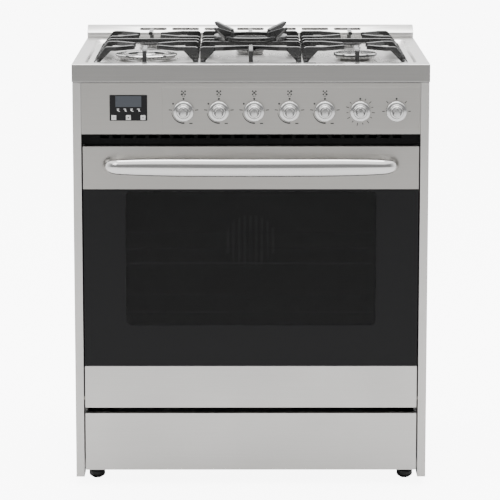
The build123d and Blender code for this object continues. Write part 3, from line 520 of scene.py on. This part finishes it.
# %% Sheet-metal skin
SHEET_PIECES = {
    "side_panel_left": (0.0006, steel_column),
    "side_panel_right": (0.0006, steel_column),
    "control_panel": (0.0004, steel_panel_painted_shade),
    "door_top_band": (0.0008, steel_panel_painted_shade),
    "door_bottom_band": (0.0008, steel_front),
    "drawer_front": (0.0008, steel_front),
    "rear_trim": (0.0008, steel_hob_painted_light),
    "cooktop": (0.0008, steel_hob_painted_light),
}
for node, (width, mat) in SHEET_PIECES.items():
    eased(node, width, mat)
kept(galvanised, "chassis", "drawer_rails", "door_frame")
eased("back_panel", 0.0003, galvanised, 1)
eased("drawer_tray", 0.0004, galvanised, 1)
print("skin:", len(SHEET_PIECES), "brushed pieces")

# %% Darker upright sides of the cooktop: painted shade
HOB_LOW, HOB_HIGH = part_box("cooktop")
SIDE_INSET, SKIN = 0.010, 0.001
hob_top = bpy.data.objects["cooktop_finished"].data
hob_top.materials.append(steel_apron_painted_shade)
painted_shade_faces = 0
# Upright outer faces take the darker copy as painted shade, while the top keeps the painted light of the hob
# steel.
for face in hob_top.polygons:
    outside = abs(face.center[0]) > HOB_HIGH[0] - SIDE_INSET or face.center[1] < HOB_LOW[1] + SKIN
    if outside and abs(face.normal[2]) < 0.3 and face.center[2] < HOB_HIGH[2] - SKIN:
        face.material_index = 1
        painted_shade_faces += 1
print("apron faces:", painted_shade_faces)

# %% Oven, enamelled inside
for node, width in (("oven_liner", 0.0006), ("face_frame", 0.0006), ("fan_cover", 0.0012),
                    ("door_inner_panel", 0.0008)):
    eased(node, width, enamel)
# The grille takes the near-black, dull finish as painted shade for its gap.
eased("vent_grille", 0.0005, grille_painted_shade)
eased("display_housing", 0.0006, black_plastic)
eased("cord_gland", 0.0006, black_plastic)
smoothed("oven_rack_upper", wire_chrome)
smoothed("oven_rack_lower", wire_chrome)
smoothed("rack_supports", wire_chrome)
smoothed("gas_manifold", aluminium)
smoothed("oven_burners", aluminium)
smoothed("gas_inlet", zinc)
smoothed("fan_motor", galvanised)
smoothed("hinge_pins", zinc)
eased("control_valves", 0.0005, zinc, 1)
eased("convection_fan", 0.0002, aluminium, 1)
smoothed("oven_lamp", lamp_glass)
kept(wool, "insulation")
kept(clear_glass, "door_inner_glass")
print("oven finished")

# %% [markdown]
# ## Cast-iron pan supports
# The supports and the wok ring are heavy castings in matt black enamel. Their rounded upper edges
# catch the light as thin bright lines, and that is most of what the eye reads from the front.

# %% Pan supports and wok ring
for node in ("grate_left", "grate_centre", "grate_right"):
    eased(node, 0.0014, iron, 3)
eased("wok_ring", 0.0014, iron, 3)
print("castings eased")

# %% [markdown]
# ## Turned pieces
# Knobs, feet, burner heads and caps are round. A profile of radius and height, spun round an axis,
# is how a lathe makes them, and the same short helper serves all of them.


# %% Lathe and solid helpers
def add_mesh(name, verts, faces, degrees=32.0):
    """A new smooth-shaded object with its faces turned outward."""
    mesh = bpy.data.meshes.new(name)
    mesh.from_pydata(verts, [], faces)
    grid = bmesh.new()
    grid.from_mesh(mesh)
    bmesh.ops.remove_doubles(grid, verts=grid.verts, dist=1e-7)
    bmesh.ops.recalc_face_normals(grid, faces=grid.faces)
    grid.to_mesh(mesh)
    grid.free()
    smooth_by_angle(mesh, degrees)
    obj = bpy.data.objects.new(name, mesh)
    bpy.context.collection.objects.link(obj)
    return obj


def rings_to_mesh(rings, closed):
    """Quads between rings of points; a closed form also joins last to first."""
    n = len(rings[0])
    verts = [p for ring in rings for p in ring]
    faces = []
    for i in range(len(rings) if closed else len(rings) - 1):
        a, b = i * n, ((i + 1) % len(rings)) * n
        faces += [(a + k, a + (k + 1) % n, b + (k + 1) % n, b + k) for k in range(n)]
    if not closed:
        faces += [tuple(range(n - 1, -1, -1)), tuple(range((len(rings) - 1) * n, len(rings) * n))]
    return verts, faces


def spin(profile, steps, place, closed=False, wave=None):
    """Rings of a spun profile; wave may change the radius at an angle and height."""
    rings = []
    for r, h in profile:
        ring = []
        for k in range(steps):
            a = 2 * math.pi * k / steps
            reach = r - (wave(k, h) if wave else 0.0)
            ring.append(place(reach * math.cos(a), reach * math.sin(a), h))
        rings.append(ring)
    return rings_to_mesh(rings, closed)


def joined(parts):
    """Vertices and faces of several pieces as one list."""
    verts, faces = [], []
    for v, f in parts:
        faces += [tuple(i + len(verts) for i in face) for face in f]
        verts += v
    return verts, faces


MM = 0.001


def in_metres(points):
    """Pairs given in millimetres, as metres."""
    return [(r * MM, h * MM) for r, h in points]


print("lathe ready")


# %% Knobs
def knob_parts(x, y, z):
    """Skirt and drum spun round the stem, with a pointed grip standing on them."""
    place = lambda u, v, h: (x + u, y - h, z + v)
    skirt = [(4.05, 0), (20.6, 0), (21.6, 0.5), (22, 1.5), (22, 4.8), (21.5, 6.0), (20.4, 7.0),
             (18.6, 7.7), (16.4, 8.0)]
    drum = [(15.5, 8.4), (15.0, 9.4), (14.4, 14), (13.6, 17.6), (13.0, 18.8), (11.8, 19.6),
            (10.4, 19.9), (9.6, 19.6), (8.6, 19.2), (4.0, 19.2), (0.02, 19.2)]
    turned = spin(in_metres(skirt + drum), 72, place)
    right = [(3.4, -10.2), (6.4, -8.6), (7.6, -5), (7.4, 0), (5.6, 5), (3.0, 9.6), (0.9, 12.0)]
    left = [(-u, v) for u, v in reversed(right)]
    outline = [*left[-2:], (0, -10.8), *right, (0, 12.4), *left[:-2]]
    rings = []
    for height, size in ((18.8, 1.0), (24.6, 0.94), (26.0, 0.9), (26.8, 0.82), (27.0, 0.7)):
        rings.append([place(u * size * MM, v * size * MM, height * MM) for u, v in outline])
    return joined([turned, rings_to_mesh(rings, False)])


for number in range(1, 8):
    low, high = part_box(f"knob_{number}")
    verts, faces = knob_parts((low[0] + high[0]) / 2, high[1], (low[2] + high[2]) / 2)
    fit_out(add_mesh(f"knob_{number}_turned", verts, faces), f"knob_{number}", steel_satin)
print("seven knobs turned")


# %% Levelling feet
for side in ("front_left", "front_right", "back_left", "back_right"):
    low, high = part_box("foot_" + side)
    cx, cy = (low[0] + high[0]) / 2, (low[1] + high[1]) / 2
    place = lambda u, v, h, cx=cx, cy=cy: (cx + u, cy + v, h)
    foot = [(0.1, 0), (9.4, 0), (10, 0.5), (10.4, 2), (12.5, 2.2), (16.4, 5.2), (17.3, 7.4),
            (17.5, 9), (17.5, 14.6), (16.9, 15.7), (15.6, 16), (9, 16.2), (8.6, 20), (8.6, 23.2),
            (5, 23.4)]
    thread = [(5.0 if i % 2 else 4.4, 23.6 + i * 0.62) for i in range(46)]
    ribs = lambda k, h: 0.0006 if k % 4 == 0 and 0.008 < h < 0.0150 else 0.0
    verts, faces = spin(in_metres(foot + thread + [(3.6, 52), (0.1, 52)]), 64, place, wave=ribs)
    fit_out(add_mesh("foot_" + side + "_turned", verts, faces), "foot_" + side, black_plastic)
print("four feet turned")

# %% [markdown]
# ## Burners
# A gas burner is a stack: a cast cup under the pan, an aluminium head with flame ports cut round
# its edge, and a loose cap. The front-left one is a double ring with a small burner inside it.
# The ports are made in the spun profile itself, by pulling the radius in at every slot.

# %% Burner sizes
CUP_DEPTH = 0.026
PAN_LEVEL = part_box("burner_bases")[0][2] + CUP_DEPTH
MID_Y, APART_X, APART_Y = -0.0025, 0.227, 0.123
BURNERS = {
    "left_front": (-APART_X, MID_Y - APART_Y, 0.067),
    "left_back": (-APART_X, MID_Y + APART_Y, 0.025),
    "centre": (0.0, MID_Y, 0.0335),
    "right_front": (APART_X, MID_Y - APART_Y, 0.047),
    "right_back": (APART_X, MID_Y + APART_Y, 0.025),
}
print("pan level", round(PAN_LEVEL, 4))


# %% Heads with flame ports
def ported(x, y, radius, base, top, slots, inner=0.0001):
    """A spun head with slots cut round its upper edge, solid or open in the middle."""
    place = lambda u, v, h: (x + u, y + v, PAN_LEVEL + h)
    mid = base + (top - base) * 0.35
    profile = [(inner, base), (radius - 0.004, base), (radius - 0.002, base + 0.001), (radius, mid),
               (radius, top), (radius - 0.004, top), (inner, top)]
    steps = slots * 4
    cut = lambda k, h: 0.0032 if k % 4 == 0 and h > mid - 0.0001 else 0.0
    return spin(profile, steps, place, closed=True, wave=cut)


print("port cutter ready")

# %% Cups, heads and lids
HEAD_BASE, HEAD_TOP = 0.003, 0.009
bases, heads, caps = [], [], []
for x, y, cap in BURNERS.values():
    place = lambda u, v, h, x=x, y=y: (x + u, y + v, PAN_LEVEL + h)
    c = cap / MM
    hole = min(c, 40) * 0.62
    cup = [(0.1, -26), (hole - 2.3, -26), (hole - 0.3, -24), (hole - 0.3, 0.1), (hole + 5, 0.1),
           (hole + 7, 1), (hole + 6.4, 2.4), (hole + 4, 3), (0.1, 3)]
    bases.append(spin(in_metres(cup), 64, place))
    edge = cap - 0.004
    if cap > 0.06:
        heads.append(ported(x, y, edge, HEAD_BASE, HEAD_TOP, 44, inner=cap - 0.022))
        heads.append(ported(x, y, 0.018, HEAD_BASE, HEAD_TOP, 16))
        ring = [(c - 26, 9), (c - 0.8, 9), (c, 9.8), (c, 11.4), (c - 1.6, 13), (c - 5, 13.5),
                (c - 24, 13.5), (c - 25.6, 12.6)]
        caps.append(spin(in_metres(ring), 128, place, closed=True))
        disc = [(0.05, 9), (20.4, 9), (21, 9.6), (21, 11.5), (19.6, 13), (17, 13.5), (0.05, 13.5)]
        caps.append(spin(in_metres(disc), 72, place))
    else:
        heads.append(ported(x, y, edge, HEAD_BASE, HEAD_TOP, 20 if cap < 0.03 else 28))
        disc = [(0.05, 9), (c - 0.6, 9), (c, 9.6), (c, 12.6), (c - 0.9, 14.2), (c - 3, 15),
                (c - 7, 14.8), (0.05, 14.6)]
        caps.append(spin(in_metres(disc), 96, place))
fit_out(add_mesh("burner_cups", *joined(bases)), "burner_bases", aluminium)
fit_out(add_mesh("burner_ported_heads", *joined(heads)), "burner_heads", aluminium)
cap_piece = fit_out(add_mesh("burner_lids", *joined(caps)), "burner_caps", cap_enamel)
print("burners:", len(caps), "caps")

# %% Cap tops: the two front lids are bright metal, the rest are black
LID_TOP = PAN_LEVEL + 0.0118
cap_piece.data.materials.append(steel_polish)
bright = [face for face in cap_piece.data.polygons
          if face.center[1] < MID_Y - 0.05 and face.center[2] > LID_TOP]
for face in bright:
    face.material_index = 1
print("bright lid faces:", len(bright))

# %% [markdown]
# ## The bowed handle
# The handle is one polished bar with an oval section. It leaves the door square, turns through a
# tight bend, runs across in a slow bow and turns back. Sweeping the oval along that line gives a
# surface with no facets for the long highlight to break on.


# %% Swept handle
HANDLE_SPAN, HANDLE_OUT, HANDLE_UP = 0.305, 0.011, 0.019
HANDLE_FOOT_Y = -0.2925
END_TAPER = 0.22


def sweep_oval(points, half_out, half_up):
    """Rings of an oval along a line in plan, each square to the line and lower at the ends."""
    rings = []
    for i, (px, py, pz) in enumerate(points):
        ax, ay, _ = points[max(i - 1, 0)]
        bx, by, _ = points[min(i + 1, len(points) - 1)]
        length = math.hypot(bx - ax, by - ay)
        nx, ny = -(by - ay) / length, (bx - ax) / length
        ring = []
        tall = half_up * (1 - END_TAPER * abs(px / points[0][0]) ** 5)
        for k in range(48):
            a = 2 * math.pi * k / 48
            out = half_out * math.cos(a)
            ring.append((px + nx * out, py + ny * out, pz + tall * math.sin(a)))
        rings.append(ring)
    return rings_to_mesh(rings, False)


def handle_line(low, high):
    """Centre line of the handle: bend, bow, bend."""
    span, back = HANDLE_SPAN, HANDLE_FOOT_Y
    depth = back - (low[1] + HANDLE_OUT)
    turn, lean = math.radians(85), math.radians(5)
    slope = math.tan(lean / 2)
    radius = (depth - slope * span) / (math.sin(turn) - slope * (1 - math.cos(turn)))
    middle = (low[2] + high[2]) / 2
    reach = span - radius * (1 - math.cos(turn))
    bow = reach / math.sin(lean)
    line = []
    for i in range(25):
        a = turn * i / 24
        line.append((-span + radius * (1 - math.cos(a)), back - radius * math.sin(a), middle))
    y0 = line[-1][1]
    for i in range(1, 80):
        a = -lean + 2 * lean * i / 80
        line.append((bow * math.sin(a), y0 - bow * (math.cos(a) - math.cos(lean)), middle))
    return line + [(-px, py, pz) for px, py, pz in reversed(line[:25])]


low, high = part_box("door_handle")
swept = sweep_oval(handle_line(low, high), HANDLE_OUT, HANDLE_UP)
handle = add_mesh("door_handle_swept", *swept, degrees=60)
fit_out(handle, "door_handle", steel_polish)
print("handle", round(2 * (HANDLE_SPAN + HANDLE_OUT), 3), "m wide")

# %% [markdown]
# ## Door glass
# The outer pane is one sheet, printed black from behind round its edge and tinted in the middle,
# so the shelf inside shows faintly. Two fitted pieces, a black border and a tinted window, give the
# two finishes their own settings with a true edge between them.


# %% Border and window
def pane_ring(outer, inner, radius, y0, y1):
    """A flat ring between a square-cornered outside and a rounded opening."""
    steps = 10
    inside, outside = [], []
    for cx, cz, start in ((1, 1, 0), (-1, 1, 90), (-1, -1, 180), (1, -1, 270)):
        ox, oz = inner[0] if cx < 0 else inner[1], inner[2] if cz < 0 else inner[3]
        ex, ez = outer[0] if cx < 0 else outer[1], outer[2] if cz < 0 else outer[3]
        for i in range(steps + 1):
            a = math.radians(start + 90 * i / steps)
            inside.append((ox - cx * radius + radius * math.cos(a),
                           oz - cz * radius + radius * math.sin(a)))
            outside.append((ex, ez))
    rings = [[(x, y, z) for x, z in edge]
             for y, edge in ((y0, outside), (y0, inside), (y1, inside), (y1, outside))]
    return rings_to_mesh(rings, True), inside


WINDOW_HALF, WINDOW_SILL, TOP_STRIP, CORNER = 0.268, 0.352, 0.004, 0.012
INSET = 0.0002
low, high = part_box("door_outer_glass")
sheet = (low[0], high[0], low[2], high[2])
window = (-WINDOW_HALF, WINDOW_HALF, WINDOW_SILL, high[2] - TOP_STRIP)
ring_mesh, opening = pane_ring(sheet, window, CORNER, low[1], high[1])
border = add_mesh("door_glass_border", *ring_mesh, degrees=20)
fit_out(border, "door_outer_glass", black_border)
flat = [[(x, y, z) for x, z in opening] for y in (low[1] + INSET, high[1] - INSET)]
pane = add_mesh("door_glass_window", *rings_to_mesh(flat, False), degrees=20)
pane.data.materials.append(window_glass)
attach(pane, "door")
print("door glass: border and window")

# %% [markdown]
# ## Heat seal
# The seal round the oven mouth is a woven glass-fibre rope in a groove. A round tube with softly
# turned corners and a fine grained skin reads right; four square strips would not.


# %% Round seal
def rounded_loop(half_x, z0, z1, radius, steps):
    """Points of a rounded rectangle in XZ."""
    points = []
    for cx, cz, start in ((half_x - radius, z1 - radius, 0), (-half_x + radius, z1 - radius, 90),
                          (-half_x + radius, z0 + radius, 180), (half_x - radius, z0 + radius, 270)):
        for i in range(steps + 1):
            a = math.radians(start + 90 * i / steps)
            points.append((cx + radius * math.cos(a), cz + radius * math.sin(a)))
    return points


ROPE_IN, ROPE_HALF, ROPE_CORNER = 0.006, 0.0055, 0.022
low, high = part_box("door_gasket")
loop = rounded_loop(high[0] - ROPE_IN, low[2] + ROPE_IN, high[2] - ROPE_IN, ROPE_CORNER, 12)
seal_y, seal_r = (low[1] + high[1]) / 2, (high[1] - low[1]) / 2
rings = []
for i, (px, pz) in enumerate(loop):
    ax, az = loop[i - 1]
    bx, bz = loop[(i + 1) % len(loop)]
    length = math.hypot(bx - ax, bz - az)
    nx, nz = (bz - az) / length, -(bx - ax) / length
    ring = []
    for k in range(20):
        a = 2 * math.pi * k / 20
        out = ROPE_HALF * math.cos(a)
        ring.append((px + nx * out, seal_y + seal_r * math.sin(a), pz + nz * out))
    rings.append(ring)
fit_out(add_mesh("door_seal_rope", *rings_to_mesh(rings, True)), "door_gasket", seal_rubber)
print("seal laid")

# %% [markdown]
# ## Clock, keys and printed marks
# Small print is what makes a control panel look real: a burner symbol over each tap, a flame scale
# beside it, ticks round the thermostat. Each mark is a thin raised shape, a few hundredths of a
# millimetre proud, because ink that has a mesh stays sharp at any distance.

# %% Flat marks
PANEL_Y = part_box("control_panel")[0][1]
INK = 0.00006


def poly(points, y, thick):
    """A thin plate in XZ, its face towards the front."""
    near = [(x, y - thick, z) for x, z in points]
    far = [(x, y, z) for x, z in points]
    return rings_to_mesh([near, far], False)


def dot(cx, cz, r, y=PANEL_Y, thick=INK):
    """A round mark."""
    turns = [a * math.pi / 9 for a in range(18)]
    return poly([(cx + r * math.cos(a), cz + r * math.sin(a)) for a in turns], y, thick)


def bar(x0, z0, x1, z1, wide, y=PANEL_Y, thick=INK):
    """A straight mark."""
    length = math.hypot(x1 - x0, z1 - z0)
    nx, nz = -(z1 - z0) / length * wide / 2, (x1 - x0) / length * wide / 2
    corners = [(x0 + nx, z0 + nz), (x0 - nx, z0 - nz), (x1 - nx, z1 - nz), (x1 + nx, z1 + nz)]
    return poly(corners, y, thick)


def arc(cx, cz, r, start, end, wide0, wide1):
    """A curved mark whose width changes along it; angles are clockwise from the top."""
    out, inn = [], []
    for i in range(33):
        t = i / 32
        a = math.radians(start + (end - start) * t)
        half = (wide0 + (wide1 - wide0) * t) / 2
        out.append((cx + (r + half) * math.sin(a), cz + (r + half) * math.cos(a)))
        inn.append((cx + (r - half) * math.sin(a), cz + (r - half) * math.cos(a)))
    return joined([poly([out[i], out[i + 1], inn[i + 1], inn[i]], PANEL_Y, INK) for i in range(32)])


def radial(cx, cz, angle, r0, r1, wide):
    """A tick pointing out from a knob's centre."""
    u, v = math.sin(math.radians(angle)), math.cos(math.radians(angle))
    return bar(cx + r0 * u, cz + r0 * v, cx + r1 * u, cz + r1 * v, wide)


def burner_symbol(cx, cz, which):
    """Five dots for the burners, with the tap's own one larger."""
    places = [(-1, 1), (1, 1), (0, 0), (-1, -1), (1, -1)]
    return joined([dot(cx + u * 0.0034, cz + v * 0.0033, 0.0023 if i == which else 0.0018)
                   for i, (u, v) in enumerate(places)])


print("mark shapes ready")

# %% Marks round the knobs
OWN_BURNER = (3, 0, 2, 1, 4)
DOT_RISE, PAIR_RISE, SYMBOL_RISE = 0.0266, 0.0325, 0.0395
SCALE_RADIUS, TICK_START = 0.0252, 0.0250
marks = []
for number in range(1, 8):
    low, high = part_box(f"knob_{number}")
    cx, cz = (low[0] + high[0]) / 2, (low[2] + high[2]) / 2
    marks.append(dot(cx, cz + DOT_RISE, 0.0022))
    if number < 6:
        marks.append(burner_symbol(cx, cz + SYMBOL_RISE, OWN_BURNER[number - 1]))
        marks += [dot(cx + u * 0.0016, cz + PAIR_RISE, 0.0011) for u in (-1, 1)]
        marks += [radial(cx, cz, side, 0.0246, 0.0316, 0.0018) for side in (-84, 84)]
        marks.append(dot(cx - 0.0222, cz + 0.0162, 0.0020))
        marks.append(arc(cx, cz, SCALE_RADIUS, 262, 176, 0.0008, 0.0030))
        marks.append(bar(cx + 0.0122, cz - 0.0258, cx + 0.0190, cz - 0.0258, 0.0022))
    elif number == 6:
        for i in range(1, 14):
            tick_end = 0.0292 if i % 2 else 0.0314
            marks.append(radial(cx, cz, i * 24, TICK_START, tick_end, 0.0015))
    else:
        for side in (-90, 90, -45, 45):
            marks.append(radial(cx, cz, side, TICK_START, 0.0304, 0.0017))
print_piece = add_mesh("panel_print", *joined(marks), degrees=20)
print_piece.data.materials.append(ink)
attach(print_piece, "cabinet")
print("marks:", len(marks))

# %% Clock face
low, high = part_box("display_glass")
smoothed("display_glass", lens_black)
face_y = low[1]
cx = (low[0] + high[0]) / 2
LCD_HALF, LCD_LOW, LCD_HIGH = 0.0275, 0.8245, 0.848
corners = [(cx - LCD_HALF, LCD_LOW), (cx + LCD_HALF, LCD_LOW), (cx + LCD_HALF, LCD_HIGH),
           (cx - LCD_HALF, LCD_HIGH)]
lcd = add_mesh("clock_window", *poly(corners, face_y, INK), degrees=20)
lcd.data.materials.append(lcd_glass)
GLYPH_STEP, GLYPH_LEVEL = 0.0144, 0.8178
glyphs = []
for i in range(4):
    gx, gz = cx + (i - 1.5) * GLYPH_STEP, GLYPH_LEVEL
    glyphs.append(bar(gx - 0.003, gz + 0.0024, gx + 0.0022, gz + 0.0024, 0.0013, face_y))
    glyphs.append(dot(gx + (0.001 if i % 2 else -0.0008), gz - 0.0004, 0.0016, face_y))
    glyphs.append(bar(gx + 0.0002, gz - 0.0022, gx + 0.0036, gz - 0.0026, 0.0011, face_y))
symbols = add_mesh("clock_symbols", *joined(glyphs), degrees=20)
symbols.data.materials.append(glyph_white)
for piece in (lcd, symbols):
    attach(piece, "cabinet")
print("clock symbols:", len(glyphs))

# %% Push keys
for number in range(1, 4):
    eased(f"button_{number}", 0.0006, key_plastic, 3)
    low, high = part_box(f"button_{number}")
    bx, bz, by = (low[0] + high[0]) / 2, (low[2] + high[2]) / 2, low[1]
    sign = [bar(bx - 0.0018, bz, bx + 0.0018, bz, 0.0008, by)]
    if number == 3:
        sign.append(bar(bx, bz - 0.0018, bx, bz + 0.0018, 0.0008, by))
    if number == 2:
        sign = [dot(bx, bz, 0.0016, by)]
    key_mark = add_mesh(f"button_{number}_mark", *joined(sign), degrees=20)
    key_mark.data.materials.append(ink)
    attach(key_mark, f"button_{number}")
print("three keys marked")

# %% [markdown]
# ## Small turned parts at the back and in the hob
# Screws and spark electrodes are tiny, but from behind and from above they are what the eye
# rests on, so they get a domed head with a dark cross painted on it as shade for its cross recess, and a
# stepped ceramic body.

# %% Back screws
SCREW_PLACES = [(x, z) for x in (-0.365, 0.365) for z in (0.07, 0.33, 0.59, 0.85)]
DOME, ARM, RECESS_SHADE_WIDE = 0.0025, 0.0018, 0.0007
SCREW_HEAD = [(0.05, -8), (2, -8), (2, 0), (4, 0), (4, 0.6), (3.6, 1.5), (2.6, 2.2), (1.3, 2.45),
              (0.05, 2.5)]
back_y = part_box("back_screws")[1][1]
screws, slots = [], []
for x, z in SCREW_PLACES:
    place = lambda u, v, h, x=x, z=z: (x + u, back_y - DOME + h, z + v)
    screws.append(spin(in_metres(SCREW_HEAD), 32, place))
    # Two thin black bars on each head: painted shade standing in for the cross recess, which is not cut.
    slots.append(bar(x - ARM, z, x + ARM, z, RECESS_SHADE_WIDE, back_y, 0.0001))
    slots.append(bar(x, z - ARM, x, z + ARM, RECESS_SHADE_WIDE, back_y, 0.0001))
fit_out(add_mesh("back_screw_heads", *joined(screws)), "back_screws", zinc)
cross_shade = add_mesh("back_screw_cross_painted_shade", *joined(slots), degrees=20)
cross_shade.data.materials.append(ink)
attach(cross_shade, "cabinet")
print("screws:", len(screws))

# %% Spark electrodes
ROD = [(0.05, 0), (3, 0), (3, 1.2), (2.4, 1.8), (2.4, 7), (2.0, 8.6), (1, 9), (0.9, 11.8), (0.05, 12)]
STAND_OFF, STAND_ANGLE = 0.005, math.radians(140)
rods = []
for x, y, cap in BURNERS.values():
    px = x + (cap + STAND_OFF) * math.cos(STAND_ANGLE)
    py = y + (cap + STAND_OFF) * math.sin(STAND_ANGLE)
    place = lambda u, v, h, px=px, py=py: (px + u, py + v, PAN_LEVEL + h)
    rods.append(spin(in_metres(ROD), 24, place))
fit_out(add_mesh("spark_electrodes", *joined(rods)), "igniters", white_ceramic)
print("electrodes:", len(rods))
